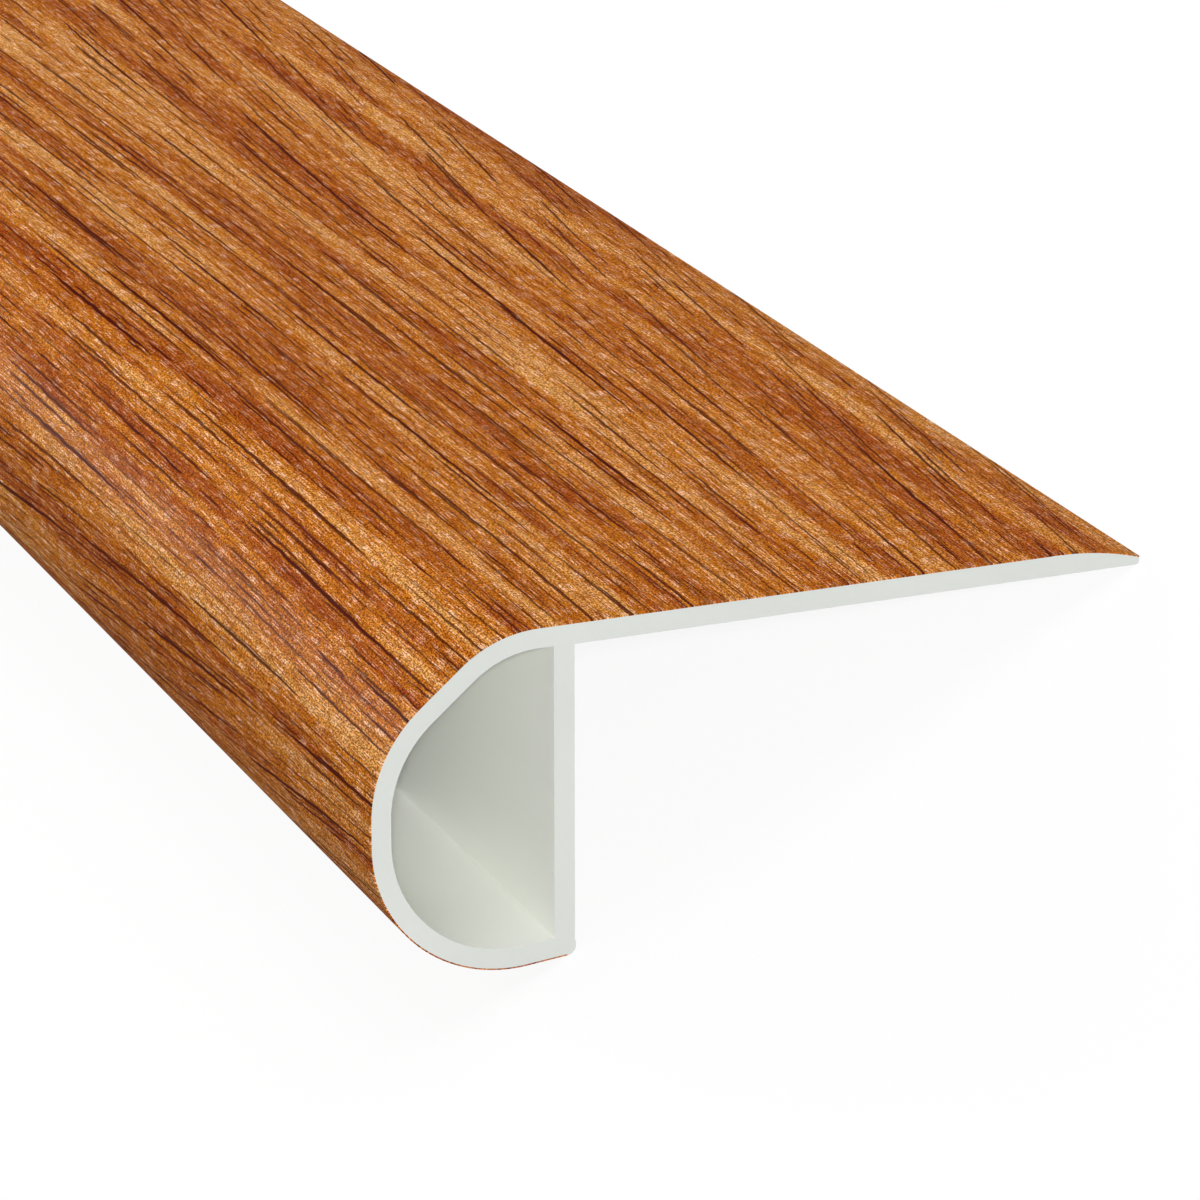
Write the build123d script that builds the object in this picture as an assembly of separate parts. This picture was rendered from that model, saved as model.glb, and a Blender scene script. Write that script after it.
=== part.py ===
from build123d import *
import math
import os

# Low profile stair nosing: a hollow extruded PVC profile with a printed film wrapped over its show face.
# All sizes are millimetres. The section is drawn as it sits on a stair, x towards the tread and y up,
# with the flange's underside on y = 0 and the shoulder of the nose starting at x = 0. The finished stick
# runs along Y and is laid down as it rests on a floor by itself: on its foot and on the flange's tip.

# The stick
length = 2286.0  # 7 1/2 ft
overall_width = 57.15  # front of the nose to the tip of the flange, 2 1/4 in

# Walls
flange_thickness = 1.55  # film included, as are all sizes to the show face
skin_thickness = 1.5  # shell round the nose
wall_thickness = 1.5  # upright wall behind the hollow
film_thickness = 0.1

# Nose, in order from the top face round to the foot
shoulder_radius = 8.65
flank_angle = 40.3  # slope of the straight between shoulder and brow
flank_length = 3.9
brow_radius = 10.05
front_height = 1.8
chin_radius = 10.3
sole_angle = 5.2  # rise of the sole towards the wall
sole_length = 2.98

# Foot, where the sole turns up into the wall
foot_radius = 0.65
foot_lip = 0.06  # how far the foot stands behind the wall
lip_height = 0.35  # straight part of the lip, above the round

# Free edge of the flange
crown_length = 6.2  # top face falling away to the tip
tip_thickness = 0.62
tip_radius = 0.3  # round under the tip


def heading(degrees):
    """Unit vector in the section at that angle from +x."""
    return Vector(math.cos(math.radians(degrees)), math.sin(math.radians(degrees)))


def straight(start, direction, run):
    """A straight edge and the direction it leaves in."""
    return Line(start, start + heading(direction) * run), direction


def bend(start, direction, radius, turn):
    """A tangent arc, turning left for a positive turn, and the direction it leaves in."""
    return JernArc(start, heading(direction), radius, turn), direction + turn


def nose(inset):
    """Edges round the nose, set in by inset: shoulder, flank, brow, front, chin and sole."""
    runs = [
        (bend, shoulder_radius - inset, flank_angle),
        (straight, flank_length),
        (bend, brow_radius - inset, 90 - flank_angle),
        (straight, front_height),
        (bend, chin_radius - inset, 90 + sole_angle),
        (straight, sole_length),
    ]
    point, direction = Vector(0, flange_thickness - inset), 180
    edges = []
    for make, *size in runs:
        edge, direction = make(point, direction, *size)
        edges.append(edge)
        point = edge @ 1
    return edges


# What the nose's outline leads to
outer_nose = nose(0)
nose_front_x = (outer_nose[3] @ 0).X
foot_start = outer_nose[-1] @ 1
foot_centre = foot_start + heading(90 + sole_angle) * foot_radius
lip_x = foot_centre.X + foot_radius
wall_x = lip_x - foot_lip  # rear face of the wall
tip_x = nose_front_x + overall_width
crown_fall = flange_thickness - tip_thickness
crown_radius = (crown_length**2 + crown_fall**2) / (2 * crown_fall)
tip_centre = Vector(tip_x - tip_radius, tip_radius)


def show_face(inset):
    """Edges of the whole show face, set in by inset, from the tip over the top and round to the foot."""
    radius = crown_radius - inset
    crown_turn = math.degrees(math.asin(crown_length / radius))
    top_y = flange_thickness - inset
    tip_top = Vector(tip_x, top_y - radius * (1 - math.cos(math.radians(crown_turn))))
    crown, _ = bend(tip_top, 180 - crown_turn, radius, crown_turn)
    return [crown, Line(crown @ 1, (0, top_y)), *nose(inset)]


def flat_face(edges):
    """The face inside a closed run of edges."""
    return Face(Wire(edges))


def hollow_section():
    """The D-shaped hollow between the nose's shell and the wall."""
    shell = nose(skin_thickness)
    top, sole_end = shell[0] @ 0, shell[-1] @ 1
    inside = flat_face([*shell, *Polyline(sole_end, (tip_x, sole_end.Y), (tip_x, top.Y), top).edges()])
    wall_front = Plane.YZ.offset(wall_x - wall_thickness)
    return split(inside, bisect_by=wall_front, keep=Keep.BOTTOM)


def profile_section():
    """The PVC: flange, nose shell, wall and foot round the hollow, set in where the film covers it."""
    covered = show_face(film_thickness)
    foot, _ = bend(foot_start, sole_angle, foot_radius, 90 - sole_angle)
    tip_round, _ = bend((tip_centre.X, 0), 0, tip_radius, 90)
    lip_top = (foot @ 1).Y + lip_height
    bare = [
        Line(covered[-1] @ 1, foot_start),
        foot,
        *Polyline(foot @ 1, (lip_x, lip_top), (wall_x, lip_top), (wall_x, 0), tip_round @ 0).edges(),
        tip_round,
        Line(tip_round @ 1, covered[0] @ 0),
    ]
    return flat_face([*covered, *bare]) - hollow_section()


def film_section():
    """The printed film, from the tip's upper edge to the foot."""
    outside, inside = show_face(0), show_face(film_thickness)
    ends = [Line(inside[0] @ 0, outside[0] @ 0), Line(inside[-1] @ 1, outside[-1] @ 1)]
    return flat_face([*outside, *inside, *ends])


def rest_angle():
    """How far the stick tips back, in degrees, until both the foot and the tip's round touch the floor."""
    span = tip_centre - foot_centre
    climb = math.atan2(span.Y, span.X)
    return math.degrees(climb + math.asin((foot_radius - tip_radius) / span.length))


def stick(section):
    """A section drawn out to the stick's length, tipped back to its rest."""
    return Rot(0, rest_angle(), 0) * extrude(Plane.XZ * section, length / 2, both=True)


def laid_down(solids):
    """The place that sets the solids' common box on the floor, centred on the origin."""
    box = Compound(children=solids).bounding_box()
    return Pos(-box.center().X, -box.center().Y, -box.min.Z)


def main():
    sticks = {"pvc_profile": stick(profile_section()), "decor_film": stick(film_section())}
    place = laid_down([part.solid() for part in sticks.values()])
    os.makedirs("parts", exist_ok=True)
    for name, part in sticks.items():
        export_step(place * part.solid(), f"parts/{name}.step")


if __name__ == "__main__":
    main()
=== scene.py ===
import math

import bmesh
import bpy
from mathutils import Matrix, Vector


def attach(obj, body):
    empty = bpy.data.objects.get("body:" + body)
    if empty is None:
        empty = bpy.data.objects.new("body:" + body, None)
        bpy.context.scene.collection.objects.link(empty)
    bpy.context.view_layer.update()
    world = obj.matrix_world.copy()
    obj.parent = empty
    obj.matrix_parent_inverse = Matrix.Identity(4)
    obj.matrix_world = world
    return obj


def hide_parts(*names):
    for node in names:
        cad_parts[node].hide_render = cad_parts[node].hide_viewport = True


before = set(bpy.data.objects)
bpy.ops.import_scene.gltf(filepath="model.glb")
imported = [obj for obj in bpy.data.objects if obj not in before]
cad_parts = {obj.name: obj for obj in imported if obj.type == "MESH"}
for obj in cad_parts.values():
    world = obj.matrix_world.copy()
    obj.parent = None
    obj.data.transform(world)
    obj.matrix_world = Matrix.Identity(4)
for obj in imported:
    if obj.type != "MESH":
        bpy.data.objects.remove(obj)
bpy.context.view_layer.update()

# Low profile stair nosing: a hollow PVC profile with a wood-print film over its show face. The section's
# sizes are millimetres, the same as the solids'. It is drawn as it sits on a stair, x towards the tread
# and y up, and then tipped back on its foot and its flange's tip, as it rests on a floor.
mm = 0.001
length = 2286.0
overall_width = 57.15
flange_thickness = 1.55
skin_thickness = 1.5
wall_thickness = 1.5
film_thickness = 0.1
shoulder_radius = 8.65
flank_angle = 40.3
flank_length = 3.9
brow_radius = 10.05
front_height = 1.8
chin_radius = 10.3
sole_angle = 5.2
sole_length = 2.98
foot_radius = 0.65
foot_lip = 0.06
lip_height = 0.35
crown_length = 6.2
tip_thickness = 0.62
tip_radius = 0.3
bend_step = 3.0  # degrees to a facet
sharp_angle = 20.0  # degrees: an edge between faces further apart stays sharp

# Rows of the film's square map, from 0 to 1, and what stays free at a row's two ends
bake_rows = {
    "show": (0.01, 0.89),
    "back": (0.90, 0.93),
    "tip edge": (0.94, 0.945),
    "foot edge": (0.955, 0.96),
    "near end": (0.97, 0.975),
    "far end": (0.985, 0.99),
}
bake_margin = 0.01

# The photograph's view, in the section's axes with the stick level: x, along the stick, up. Measured from
# the corner of wall and flange at the near end.
camera_place = (-136.75, -333.03, 130.65)
camera_right = (0.92325, -0.38421, 0.0)
camera_forward = (0.36216, 0.87026, -0.33391)
camera_lens = 171.917
camera_sensor = 36.0

# Light, as directions that it comes from, in the same axes: strength, softness in degrees, and tint
lamps = {
    "key": ((-0.32, -0.87, 0.36), 2.45, 2.5, (1.0, 1.0, 1.0)),
    "overhead": ((-0.10, 0.10, 0.98), 1.3, 60.0, (1.0, 1.0, 1.0)),
    "sheen": ((-0.44, 0.87, 0.21), 1.15, 18.0, (0.9, 0.97, 1.0)),
}
fill_front = (-0.36, -0.87, 0.33)  # the fill is brightest from here
fill_bright = 0.25
fill_dim = 0.05
floor_size = 60.0
floor_white = 0.9  # share of the floor that a camera sees as plain white
floor_seen = "#FAFAFA"  # the floor as a camera sees it
floor_lit = "#BCBCBC"  # the floor as it throws light on the stick

# Most of a soft noise's values, from 0 to 1, and nearly all of them
noise_most = (0.3, 0.7)
noise_all = (0.2, 0.8)

# Layers of the print: width and length of a grain in millimetres, seed, detail and the detail's roughness
print_layers = {
    # The bands' seed lays a light band on the flank at the near end, under the sheen: print, and partly a
    # painted highlight
    "bands": ((2.6, 90.0), 21.78, 1.0),
    "streaks": ((0.7, 30.0), 5.9, 1.0),
    "threads": ((0.3, 12.0), 8.3, 1.0),
    "fibres": ((0.11, 1.6), 2.4, 1.0, 0.6),
    "flecks_and_glints": ((0.09, 2.2), 37.0, 0.0),
    "raster": ((0.09, 0.26), 9.2, 0.0),
    "sway": ((18.0, 90.0), 3.1, 1.0),
    "tremble": ((1.0, 2.0), 7.7, 1.0),
}

# How far the grain sways and trembles across the film, in millimetres
sway_reach = 1.0
tremble_reach = 0.12

# How much a layer adds to the print's tone, over a stretch of its values
tone_layers = {
    "bands": ((0.385, 0.685), 0.44),
    "streaks": (noise_most, 0.22),
    "threads": (noise_most, 0.32),
}

# Pores of the print: width and length of the cell that holds one, and its own width, in millimetres; seed
pores = {
    "long": ((2.2, 44.0), 0.36, 11.0),
    "fine": ((1.7, 24.0), 0.3, 53.0),
    "short": ((0.8, 9.0), 0.24, 23.0),
}
pore_fade = 0.06  # millimetres that a pore's edge fades over
fine_strength = 0.9
short_tones = (0.35, 0.6)  # short pores fade out as the tone rises from one to the other
cell_stagger = 9.0  # cells that a strip of them is shifted by, at most

# How much the pores lean for each millimetre along the film, and where the lean fades, measured across it
tip_lean = 0.14
tip_lean_place = (2.0, 30.0)
front_lean = -0.1
front_lean_place = (58.0, 68.0)

# The print's colours, dark to light, and its details: the values of their layer that they grow over, the
# wood's tone that they follow, and how strong they are
wood_shades = ("#96460E", "#BC6E18", "#D3954C")
pore_shade = "#480E02"
fibre_shade = "#8C320A"
fibre_values = (0.38, 0.5)
fibre_strength = 0.5
# Pale specks: partly the print's own, partly painted glints off the film's relief
fleck_and_glint_shade = "#F0C2A0"
fleck_and_glint_values = (0.6, 0.66)
fleck_and_glint_tones = (0.3, 0.6)  # the pale specks, and the glints painted with them, grow stronger as the tone rises from one to the other
fleck_and_glint_strengths = (0.3, 0.65)
raster_depth = (0.58, 0.68, 0.85)  # red, green, blue
fibre_relief = 0.3  # height of a fibre beside the depth of a pore
film_roughness = (0.3, 0.4)

# The PVC's colours, dark to light, and how rough it is
# The extruded shades are whiter than the sawn ends': painted light that lifts the shade in the hollow
extruded_shades_with_painted_light = ("#F6F8F0", "#FAFBF5")
extruded_roughness = (0.45, 0.6)
sawn_shades = ("#CED1CC", "#D5D8D3")
sawn_roughness = (0.6, 0.75)


def heading(degrees):
    """Unit vector in the section at that angle from +x."""
    angle = math.radians(degrees)
    return Vector((math.cos(angle), math.sin(angle)))


def trace(start, direction, runs):
    """Points along straights (run, 0) and tangent left bends (radius, turn), set off in a direction."""
    points = [Vector(start)]
    for size, turn in runs:
        if not turn:
            points.append(points[-1] + heading(direction) * size)
            continue
        centre = points[-1] + heading(direction + 90) * size
        steps = math.ceil(turn / bend_step)
        for step in range(1, steps + 1):
            points.append(centre + heading(direction - 90 + turn * step / steps) * size)
        direction += turn
    return points


def nose_runs(inset):
    """Runs round the nose, set in by inset: shoulder, flank, brow, front, chin and sole."""
    return [
        (shoulder_radius - inset, flank_angle),
        (flank_length, 0),
        (brow_radius - inset, 90 - flank_angle),
        (front_height, 0),
        (chin_radius - inset, 90 + sole_angle),
        (sole_length, 0),
    ]


def nose(inset):
    """Points round the nose, from the top face to the foot."""
    return trace((0, flange_thickness - inset), 180, nose_runs(inset))


# What the nose's outline leads to
outer_nose = nose(0)
foot_start = outer_nose[-1]
foot_centre = foot_start + heading(90 + sole_angle) * foot_radius
lip_x = foot_centre.x + foot_radius
wall_x = lip_x - foot_lip
tip_x = min(point.x for point in outer_nose) + overall_width
crown_fall = flange_thickness - tip_thickness
crown_radius = (crown_length**2 + crown_fall**2) / (2 * crown_fall)
tip_centre = Vector((tip_x - tip_radius, tip_radius))


def show_face(inset):
    """Points of the whole show face, set in by inset, from the tip over the top and round to the foot."""
    radius = crown_radius - inset
    turn = math.degrees(math.asin(crown_length / radius))
    start = (tip_x, flange_thickness - inset - radius * (1 - math.cos(math.radians(turn))))
    return trace(start, 180 - turn, [(radius, turn), (tip_x - crown_length, 0), *nose_runs(inset)])


def hollow_outline():
    """Points round the D-shaped hollow between the nose's shell and the wall."""
    shell = nose(skin_thickness)
    wall_front = wall_x - wall_thickness
    before, after = shell[-2:]
    share = (wall_front - before.x) / (after.x - before.x)
    return [Vector((wall_front, shell[0].y)), *shell[:-1], before.lerp(after, share)]


def profile_outline():
    """Points round the PVC, set in where the film covers it."""
    foot = trace(foot_start, sole_angle, [(foot_radius, 90 - sole_angle), (lip_height, 0)])
    lip_corner = Vector((wall_x, foot[-1].y))
    inner_corner = Vector((wall_x, 0))
    tip_round = trace((tip_centre.x, 0), 0, [(tip_radius, 90)])
    return [*show_face(film_thickness), *foot, lip_corner, inner_corner, *tip_round]


def rest_turn():
    """How the stick tips back until both the foot and the tip's round touch the floor."""
    span = tip_centre - foot_centre
    climb = math.atan2(span.y, span.x)
    return Matrix.Rotation(climb + math.asin((foot_radius - tip_radius) / span.length), 4, "Y")


def rest_place():
    """The matrix from the section's axes, in millimetres, to the frame, in metres."""
    turned = [rest_turn() @ Vector((point.x, 0, point.y)) for point in [*show_face(0), *profile_outline()]]
    middle = (min(point.x for point in turned) + max(point.x for point in turned)) / 2
    low = min(point.z for point in turned)
    return Matrix.Scale(mm, 4) @ Matrix.Translation((-middle, 0, -low)) @ rest_turn()


def ring(bm, outline, along):
    """Vertices round an outline at one place along the stick."""
    return [bm.verts.new((point.x, along, point.y)) for point in outline]


def sides(bm, near, far):
    """Adds the faces along the stick between the same ring at its two ends."""
    for index in range(len(near)):
        bm.faces.new((near[index - 1], near[index], far[index], far[index - 1]))


def finished(bm, name, materials):
    """A piece from a mesh in the section's axes, laid where the stick rests, smooth round its bends."""
    bmesh.ops.recalc_face_normals(bm, faces=bm.faces)
    bm.transform(rest_place())
    mesh = bpy.data.meshes.new(name)
    bm.to_mesh(mesh)
    bm.free()
    mesh.shade_smooth()
    mesh.set_sharp_from_angle(angle=math.radians(sharp_angle))
    for material in materials:
        mesh.materials.append(material)
    piece = bpy.data.objects.new(name, mesh)
    bpy.context.scene.collection.objects.link(piece)
    return piece


def profile_piece(materials):
    """The extruded PVC profile: its sides and hollow take the first material, its sawn ends the second."""
    bm = bmesh.new()
    ends = [[], []]
    for outline in (profile_outline(), hollow_outline()):
        near, far = ring(bm, outline, -length / 2), ring(bm, outline, length / 2)
        sides(bm, near, far)
        for end, verts in zip(ends, (near, far)):
            end += [bm.edges.get((verts[index - 1], verts[index])) for index in range(len(verts))]
    for edges in ends:
        filled = bmesh.ops.triangle_fill(bm, use_beauty=True, edges=edges)
        for face in filled["geom"]:
            if isinstance(face, bmesh.types.BMFace):
                face.material_index = 1
    return finished(bm, "stair_nosing_profile", materials)


def bake_place(face, vert, spot, width):
    """Where a corner of a film's face lies on a square map: nearly all of it is the show face."""
    across, side = spot[vert][0] / width, spot[vert][1]
    along = vert.co.y / length + 0.5
    if len({spot[corner][1] for corner in face.verts}) == 1:
        row, down = "back" if side else "show", across
    elif len({corner.co.y for corner in face.verts}) == 2:
        row, down = "foot edge" if across > 0.5 else "tip edge", side
    else:
        row, down, along = "far end" if vert.co.y > 0 else "near end", side, across
    low, high = bake_rows[row]
    return bake_margin + (1 - 2 * bake_margin) * along, low + down * (high - low)


def film_piece(material):
    """The printed film over the show face, with its unrolled width and length in millimetres as a map."""
    bm = bmesh.new()
    outside, inside = show_face(0), show_face(film_thickness)
    across = [0.0]
    for before, after in zip(outside, outside[1:]):
        across.append(across[-1] + (after - before).length)
    outline = [*outside, *reversed(inside)]
    near, far = ring(bm, outline, -length / 2), ring(bm, outline, length / 2)
    sides(bm, near, far)
    for verts in (near, far):
        for index in range(len(outside) - 1):
            other = len(verts) - 1 - index
            bm.faces.new((verts[index], verts[index + 1], verts[other - 1], verts[other]))
    spots = [(share, 0) for share in across] + [(share, 1) for share in reversed(across)]
    spot = dict(zip([*near, *far], 2 * spots))
    unrolled = bm.loops.layers.uv.new("Unrolled")
    baked = bm.loops.layers.uv.new("OFBake")
    for face in bm.faces:
        for loop in face.loops:
            loop[unrolled].uv = (spot[loop.vert][0], loop.vert.co.y)
            loop[baked].uv = bake_place(face, loop.vert, spot, across[-1])
    return finished(bm, "stair_nosing_film", [material])


def colour(code):
    """A colour written as on a screen, in the light's own scale."""
    channels = [int(code[start:start + 2], 16) / 255 for start in (1, 3, 5)]
    return (*[((c + 0.055) / 1.055) ** 2.4 if c > 0.04045 else c / 12.92 for c in channels], 1.0)


class Nodes:
    """The nodes of one tree, added call by call."""

    def __init__(self, tree):
        self.tree = tree

    def feed(self, socket, value):
        """Links a socket to a node's output, or sets it to a plain value."""
        if isinstance(value, bpy.types.NodeSocket):
            self.tree.links.new(value, socket)
        else:
            socket.default_value = value

    def node(self, kind, inputs=None, **settings):
        """A new node with its settings and what feeds it."""
        made = self.tree.nodes.new(kind)
        for key, value in settings.items():
            setattr(made, key, value)
        for socket, value in (inputs or {}).items():
            self.feed(made.inputs[socket], value)
        return made

    def math(self, operation, *values, clamp=False):
        """The result of an operation on one number or two."""
        made = self.node("ShaderNodeMath", dict(enumerate(values)), operation=operation, use_clamp=clamp)
        return made.outputs[0]

    def spread(self, value, low, high, to_low=0.0, to_high=1.0):
        """The value's stretch from low to high, carried over to another stretch and held there."""
        inputs = {"Value": value, "From Min": low, "From Max": high, "To Min": to_low, "To Max": to_high}
        return self.node("ShaderNodeMapRange", inputs).outputs["Result"]

    def between(self, share, low, high):
        """A number from low to high, by a share from 0 to 1."""
        return self.spread(share, 0.0, 1.0, low, high)

    def mix_numbers(self, share, first, second):
        """A share of the second number and the rest of the first."""
        return self.node("ShaderNodeMix", {0: share, 2: first, 3: second}).outputs[0]

    def mix_colours(self, share, first, second, blend="MIX"):
        """A share of the second colour, or of its blend with the first, and the rest of the first."""
        inputs = {0: share, 6: first, 7: second}
        return self.node("ShaderNodeMix", inputs, data_type="RGBA", blend_type=blend).outputs[2]


class Pattern(Nodes):
    """A material under construction."""

    def __init__(self, name):
        self.material = bpy.data.materials.new(name)
        self.material.use_nodes = True
        super().__init__(self.material.node_tree)
        self.shader = self.tree.nodes["Principled BSDF"]

    def surface(self, base, roughness, relief, strength, depth):
        """The finished material: its colour, its roughness, and its relief as a bump of that depth."""
        bump = self.node("ShaderNodeBump", {"Strength": strength, "Distance": depth, "Height": relief})
        self.feed(self.shader.inputs["Base Color"], base)
        self.feed(self.shader.inputs["Roughness"], roughness)
        self.feed(self.shader.inputs["Normal"], bump.outputs["Normal"])
        return self.material

    def pair(self, first, second):
        """Two numbers as a vector."""
        return self.node("ShaderNodeCombineXYZ", {0: first, 1: second}).outputs[0]

    def parts(self, vector):
        """The three numbers of a vector."""
        return self.node("ShaderNodeSeparateXYZ", {"Vector": vector}).outputs

    def stretched(self, vector, size, seed):
        """The vector in units of size, moved on by a seed of its own."""
        scale = (1 / size[0], 1 / size[1], 1 / size[-1])
        inputs = {"Vector": vector, "Location": (seed, seed, seed), "Scale": scale}
        return self.node("ShaderNodeMapping", inputs, vector_type="POINT").outputs["Vector"]

    def noise(self, vector, size, seed, detail, roughness=0.5):
        """Soft noise from 0 to 1 with grains of that size."""
        place = self.stretched(vector, size, seed)
        inputs = {"Vector": place, "Scale": 1.0, "Detail": detail, "Roughness": roughness}
        return self.node("ShaderNodeTexNoise", inputs).outputs["Fac"]

    def ramp(self, value, shades):
        """Shades at even steps over nearly all of a soft noise's values."""
        made = self.node("ShaderNodeValToRGB", {"Fac": value})
        elements = made.color_ramp.elements
        while len(elements) < len(shades):
            elements.new(0.5)
        low, high = noise_all
        for index, shade in enumerate(shades):
            elements[index].position = low + (high - low) * index / (len(shades) - 1)
            elements[index].color = colour(shade)
        return made.outputs["Color"]

    def chance(self, first, second):
        """Three separate random numbers for each pair of whole numbers."""
        place = {"Vector": self.pair(first, second)}
        drawn = self.node("ShaderNodeTexWhiteNoise", place, noise_dimensions="2D")
        return self.node("ShaderNodeSeparateColor", {"Color": drawn.outputs["Color"]}).outputs

    def dashes(self, vector, cell, width, seed, lean):
        """Separate tapering dashes from 0 to 1, one to a cell, in strips of staggered cells."""
        across, along, _ = self.parts(self.stretched(vector, cell, seed))
        strip = self.math("FLOOR", across)
        along = self.math("ADD", along, self.math("MULTIPLY", self.chance(strip, seed)[0], cell_stagger))
        chance = self.chance(strip, self.math("FLOOR", along))
        middle = self.between(chance[0], 0.2, 0.8)
        half_run = self.between(chance[1], 0.25, 0.5)
        half_width = self.between(chance[2], 0.3 * width, 0.5 * width)
        strength = self.between(chance[2], 0.75, 1.0)
        ahead = self.math("SUBTRACT", self.math("FRACT", along), 0.5)
        aside = self.math("SUBTRACT", self.math("FRACT", across), middle)
        reach = self.math("DIVIDE", ahead, half_run)
        left = self.math("SUBTRACT", 1.0, self.math("MULTIPLY", reach, reach), clamp=True)
        room = self.math("MULTIPLY", self.math("SQRT", left), half_width)
        drift = self.math("MULTIPLY", self.math("MULTIPLY", ahead, cell[1]), lean)
        gap = self.math("ABSOLUTE", self.math("ADD", self.math("MULTIPLY", aside, cell[0]), drift))
        body = self.math("DIVIDE", self.math("SUBTRACT", room, gap), pore_fade, clamp=True)
        return self.math("MULTIPLY", body, strength)


def grain_lines(wood):
    """Places on the film in millimetres: flat, swaying with the grain, and trembling as well."""
    across, along, _ = wood.parts(wood.node("ShaderNodeUVMap", uv_map="Unrolled").outputs["UV"])
    flat = wood.pair(across, along)
    sway = wood.between(wood.noise(flat, *print_layers["sway"]), -sway_reach, sway_reach)
    tremble = wood.between(wood.noise(flat, *print_layers["tremble"]), -tremble_reach, tremble_reach)
    swayed = wood.math("ADD", across, sway)
    return flat, wood.pair(swayed, along), wood.pair(wood.math("ADD", swayed, tremble), along)


def wood_tone(wood, grain):
    """How light the wood is, from 0 to nearly 1."""
    tone = 0.0
    for layer, (values, share) in tone_layers.items():
        part = wood.spread(wood.noise(grain, *print_layers[layer]), *values, 0.0, share)
        tone = wood.math("ADD", tone, part)
    return tone


def wood_pores(wood, flat, ragged, tone):
    """The wood's pores from 0 to 1: long and fine ones all over, and short ones where it is dark."""
    across = wood.parts(flat)[0]
    by_tip = wood.spread(across, *tip_lean_place, tip_lean, 0.0)
    by_front = wood.spread(across, *front_lean_place, 0.0, front_lean)
    lean = wood.math("ADD", by_tip, by_front)
    long, fine, short = [wood.dashes(ragged, *pores[kind], lean) for kind in ("long", "fine", "short")]
    fine = wood.math("MULTIPLY", fine, fine_strength)
    short = wood.math("MULTIPLY", short, wood.spread(tone, *short_tones, 1.0, 0.0))
    return wood.math("MAXIMUM", wood.math("MAXIMUM", long, fine), short)


def wood_flecks_and_glints(wood, grain, tone):
    """The wood's pale specks from 0 to 1, stronger where its tone is light: partly print, partly painted
    glints.
    """
    flecks_and_glints = wood.spread(wood.noise(grain, *print_layers["flecks_and_glints"]), *fleck_and_glint_values)
    return wood.math("MULTIPLY", flecks_and_glints, wood.spread(tone, *fleck_and_glint_tones, *fleck_and_glint_strengths))


def print_raster(wood, flat):
    """The fine grain of the print, as a tint about white."""
    raster = wood.noise(flat, *print_layers["raster"])
    shades = [wood.spread(raster, *noise_most, 1 - depth, 1 + depth) for depth in raster_depth]
    return wood.node("ShaderNodeCombineColor", dict(enumerate(shades))).outputs[0]


def wood_film():
    """Satin printed film: bands of brown, dark pores, pale specks partly painted as glints, and the
    print's fine grain.
    """
    wood = Pattern("wood_print_film")
    flat, grain, ragged = grain_lines(wood)
    tone = wood_tone(wood, grain)
    fibres = wood.noise(grain, *print_layers["fibres"])
    dark_fibres = wood.spread(fibres, *fibre_values, fibre_strength, 0.0)
    dark_pores = wood_pores(wood, flat, ragged, tone)
    base = wood.mix_colours(dark_fibres, wood.ramp(tone, wood_shades), colour(fibre_shade))
    # Pale specks: partly print, partly painted glints
    base = wood.mix_colours(wood_flecks_and_glints(wood, grain, tone), base, colour(fleck_and_glint_shade))
    base = wood.mix_colours(1.0, base, print_raster(wood, flat), "MULTIPLY")
    base = wood.mix_colours(dark_pores, base, colour(pore_shade))
    roughness = wood.spread(fibres, *noise_all, *film_roughness)
    relief = wood.math("SUBTRACT", wood.math("MULTIPLY", fibres, fibre_relief), dark_pores)
    wood.shader.inputs["Specular IOR Level"].default_value = 0.0
    wood.shader.inputs["Coat Weight"].default_value = 0.05
    wood.shader.inputs["Coat Roughness"].default_value = 0.35
    return wood.surface(base, roughness, relief, strength=0.2, depth=0.03 * mm)


def extruded_pvc():
    """Plain off-white PVC with the die's faint lines along it, painted whiter to lift the hollow's shade.
    """
    pvc = Pattern("extruded_pvc")
    place = pvc.node("ShaderNodeTexCoord").outputs["Object"]
    lines = pvc.noise(place, (0.5 * mm, 400 * mm, 0.5 * mm), seed=4.2, detail=2.0)
    cloud = pvc.noise(place, (12 * mm, 40 * mm, 12 * mm), seed=8.8, detail=3.0)
    # Whiter than the sawn ends: painted light that lifts the shade in the hollow
    base = pvc.ramp(pvc.mix_numbers(share=0.6, first=lines, second=cloud), extruded_shades_with_painted_light)
    roughness = pvc.spread(cloud, *noise_all, *extruded_roughness)
    return pvc.surface(base, roughness, lines, strength=0.2, depth=0.02 * mm)


def sawn_pvc():
    """The sawn ends: the same PVC, matt, with fine straight marks of the blade."""
    pvc = Pattern("sawn_pvc")
    place = pvc.node("ShaderNodeTexCoord").outputs["Object"]
    marks = pvc.noise(place, (0.25 * mm, 1000 * mm, 30 * mm), seed=6.1, detail=2.0)
    cloud = pvc.noise(place, (6 * mm, 1000 * mm, 6 * mm), seed=2.9, detail=3.0)
    base = pvc.ramp(pvc.mix_numbers(share=0.7, first=marks, second=cloud), sawn_shades)
    roughness = pvc.spread(marks, *noise_all, *sawn_roughness)
    return pvc.surface(base, roughness, marks, strength=0.15, depth=0.02 * mm)


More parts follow.
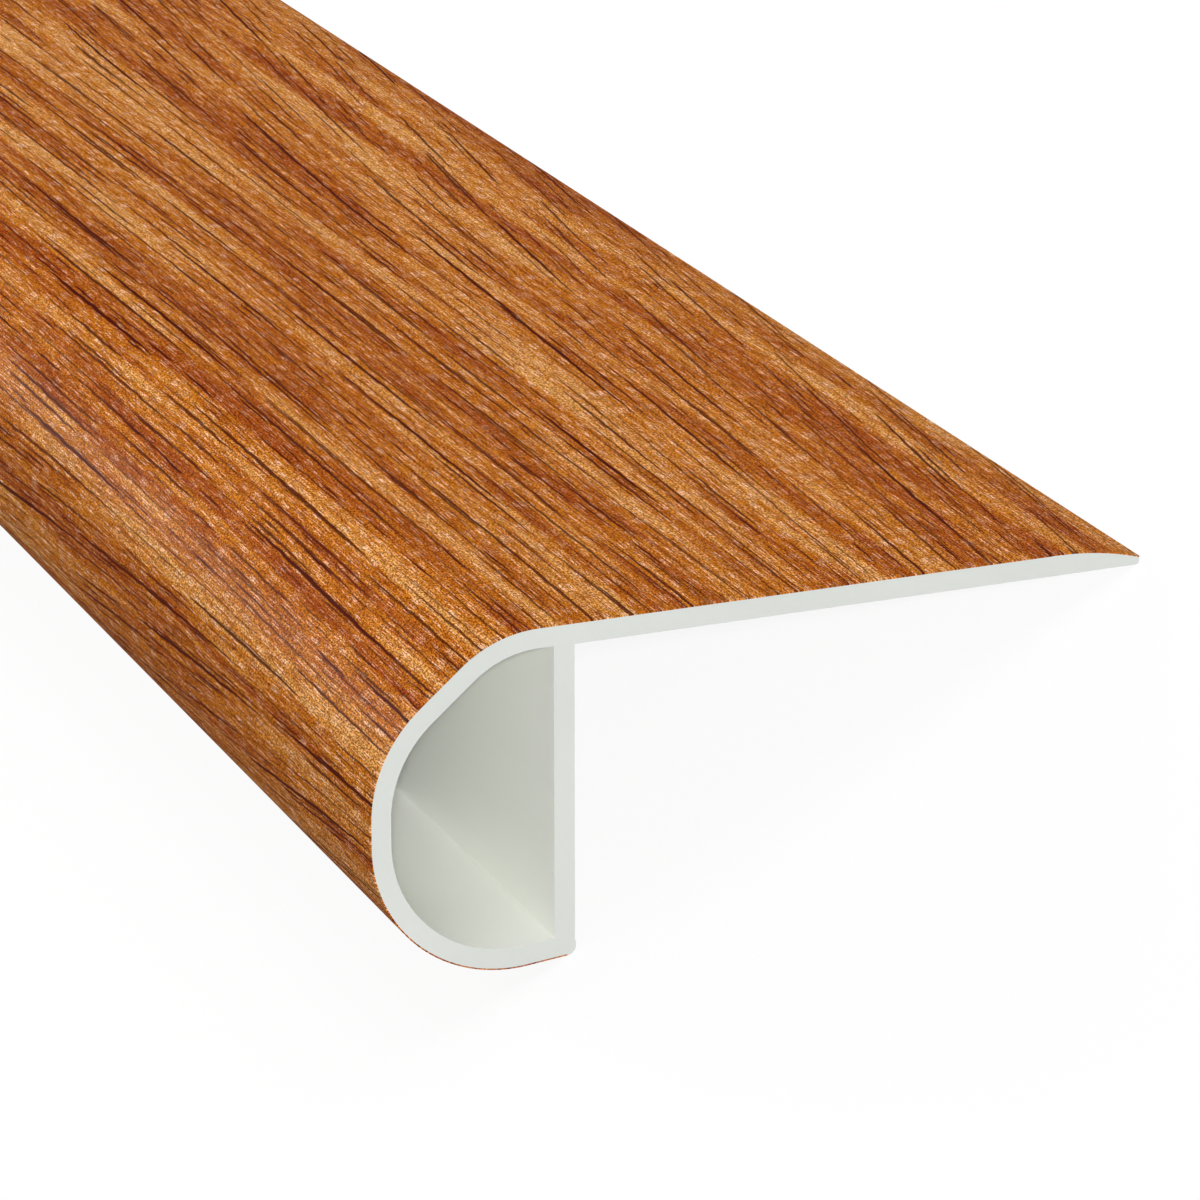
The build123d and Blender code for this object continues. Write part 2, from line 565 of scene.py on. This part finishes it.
def add_camera():
    """The photograph's camera, turned with the stick."""
    turn = rest_turn().to_3x3()
    right, forward = turn @ Vector(camera_right), turn @ Vector(camera_forward)
    up = right.cross(forward)
    data = bpy.data.cameras.new("camera")
    data.lens = camera_lens
    data.sensor_width = camera_sensor
    camera = bpy.data.objects.new("camera", data)
    corner = Vector((wall_x, -length / 2, 0))
    axes = Matrix((right, up, -forward)).transposed().to_4x4()
    camera.matrix_world = Matrix.Translation(rest_place() @ (corner + Vector(camera_place))) @ axes
    bpy.context.scene.collection.objects.link(camera)
    bpy.context.scene.camera = camera


def add_sun(name, comes_from, strength, softness, tint):
    """Even light from one side along the whole stick."""
    data = bpy.data.lights.new(name, "SUN")
    data.energy = strength
    data.angle = math.radians(softness)
    data.color = tint
    sun = bpy.data.objects.new(name, data)
    direction = rest_turn().to_3x3() @ Vector(comes_from)
    sun.rotation_mode = "QUATERNION"
    sun.rotation_quaternion = direction.to_track_quat("Z", "Y")
    bpy.context.scene.collection.objects.link(sun)


def sees_white(nodes):
    """1 for the rays that see a plain white background, 0 for those that only carry light."""
    path = nodes.node("ShaderNodeLightPath").outputs
    seen = nodes.math("MAXIMUM", path["Is Camera Ray"], path["Is Glossy Ray"])
    return nodes.math("MAXIMUM", seen, path["Is Transmission Ray"])


def add_world():
    """A fill from all round, brighter from the front, and white where it is seen."""
    world = bpy.data.worlds.new("studio")
    world.use_nodes = True
    nodes = Nodes(world.node_tree)
    way = nodes.node("ShaderNodeTexCoord").outputs["Generated"]
    front = rest_turn().to_3x3() @ Vector(fill_front)
    facing = nodes.node("ShaderNodeVectorMath", {0: way, 1: front}, operation="DOT_PRODUCT")
    fill = nodes.spread(facing.outputs["Value"], -1.0, 1.0, fill_dim, fill_bright)
    background = world.node_tree.nodes["Background"]
    background.inputs["Color"].default_value = colour("#FFFFFF")
    nodes.feed(background.inputs["Strength"], nodes.mix_numbers(sees_white(nodes), fill, 1.0))
    bpy.context.scene.world = world


def floor_material():
    """A white floor that keeps the stick's shadow, faintly, and is not there from below."""
    floor = Pattern("floor")
    floor.tree.nodes.remove(floor.shader)
    seen = sees_white(floor)
    tone = floor.mix_colours(seen, colour(floor_lit), colour(floor_seen))
    paint = floor.node("ShaderNodeBsdfDiffuse", {"Color": tone}).outputs["BSDF"]
    white = floor.node("ShaderNodeEmission").outputs["Emission"]
    share = floor.between(seen, 0.0, floor_white)
    top = floor.node("ShaderNodeMixShader", {0: share, 1: paint, 2: white}).outputs["Shader"]
    clear = floor.node("ShaderNodeBsdfTransparent").outputs["BSDF"]
    below = floor.node("ShaderNodeNewGeometry").outputs["Backfacing"]
    both = floor.node("ShaderNodeMixShader", {0: below, 1: top, 2: clear}).outputs["Shader"]
    floor.feed(floor.tree.nodes["Material Output"].inputs["Surface"], both)
    return floor.material


def add_floor():
    """The plain floor that the stick lies on."""
    mesh = bpy.data.meshes.new("floor")
    half = floor_size / 2
    corners = [(-half, -half, 0), (half, -half, 0), (half, half, 0), (-half, half, 0)]
    mesh.from_pydata(corners, [], [(0, 1, 2, 3)])
    mesh.materials.append(floor_material())
    floor = bpy.data.objects.new("floor", mesh)
    bpy.context.scene.collection.objects.link(floor)


def dress():
    """Puts the two finished pieces in their solids' place."""
    profile = profile_piece([extruded_pvc(), sawn_pvc()])
    film = film_piece(wood_film())
    for piece, node, slot in ((profile, "pvc_profile", "pvc"), (film, "decor_film", "decor_film")):
        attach(piece, "root")
        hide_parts(node)


dress()
add_floor()
add_world()
for name, lamp in lamps.items():
    add_sun(name, *lamp)
add_camera()
bpy.context.scene.view_settings.view_transform = "Standard"
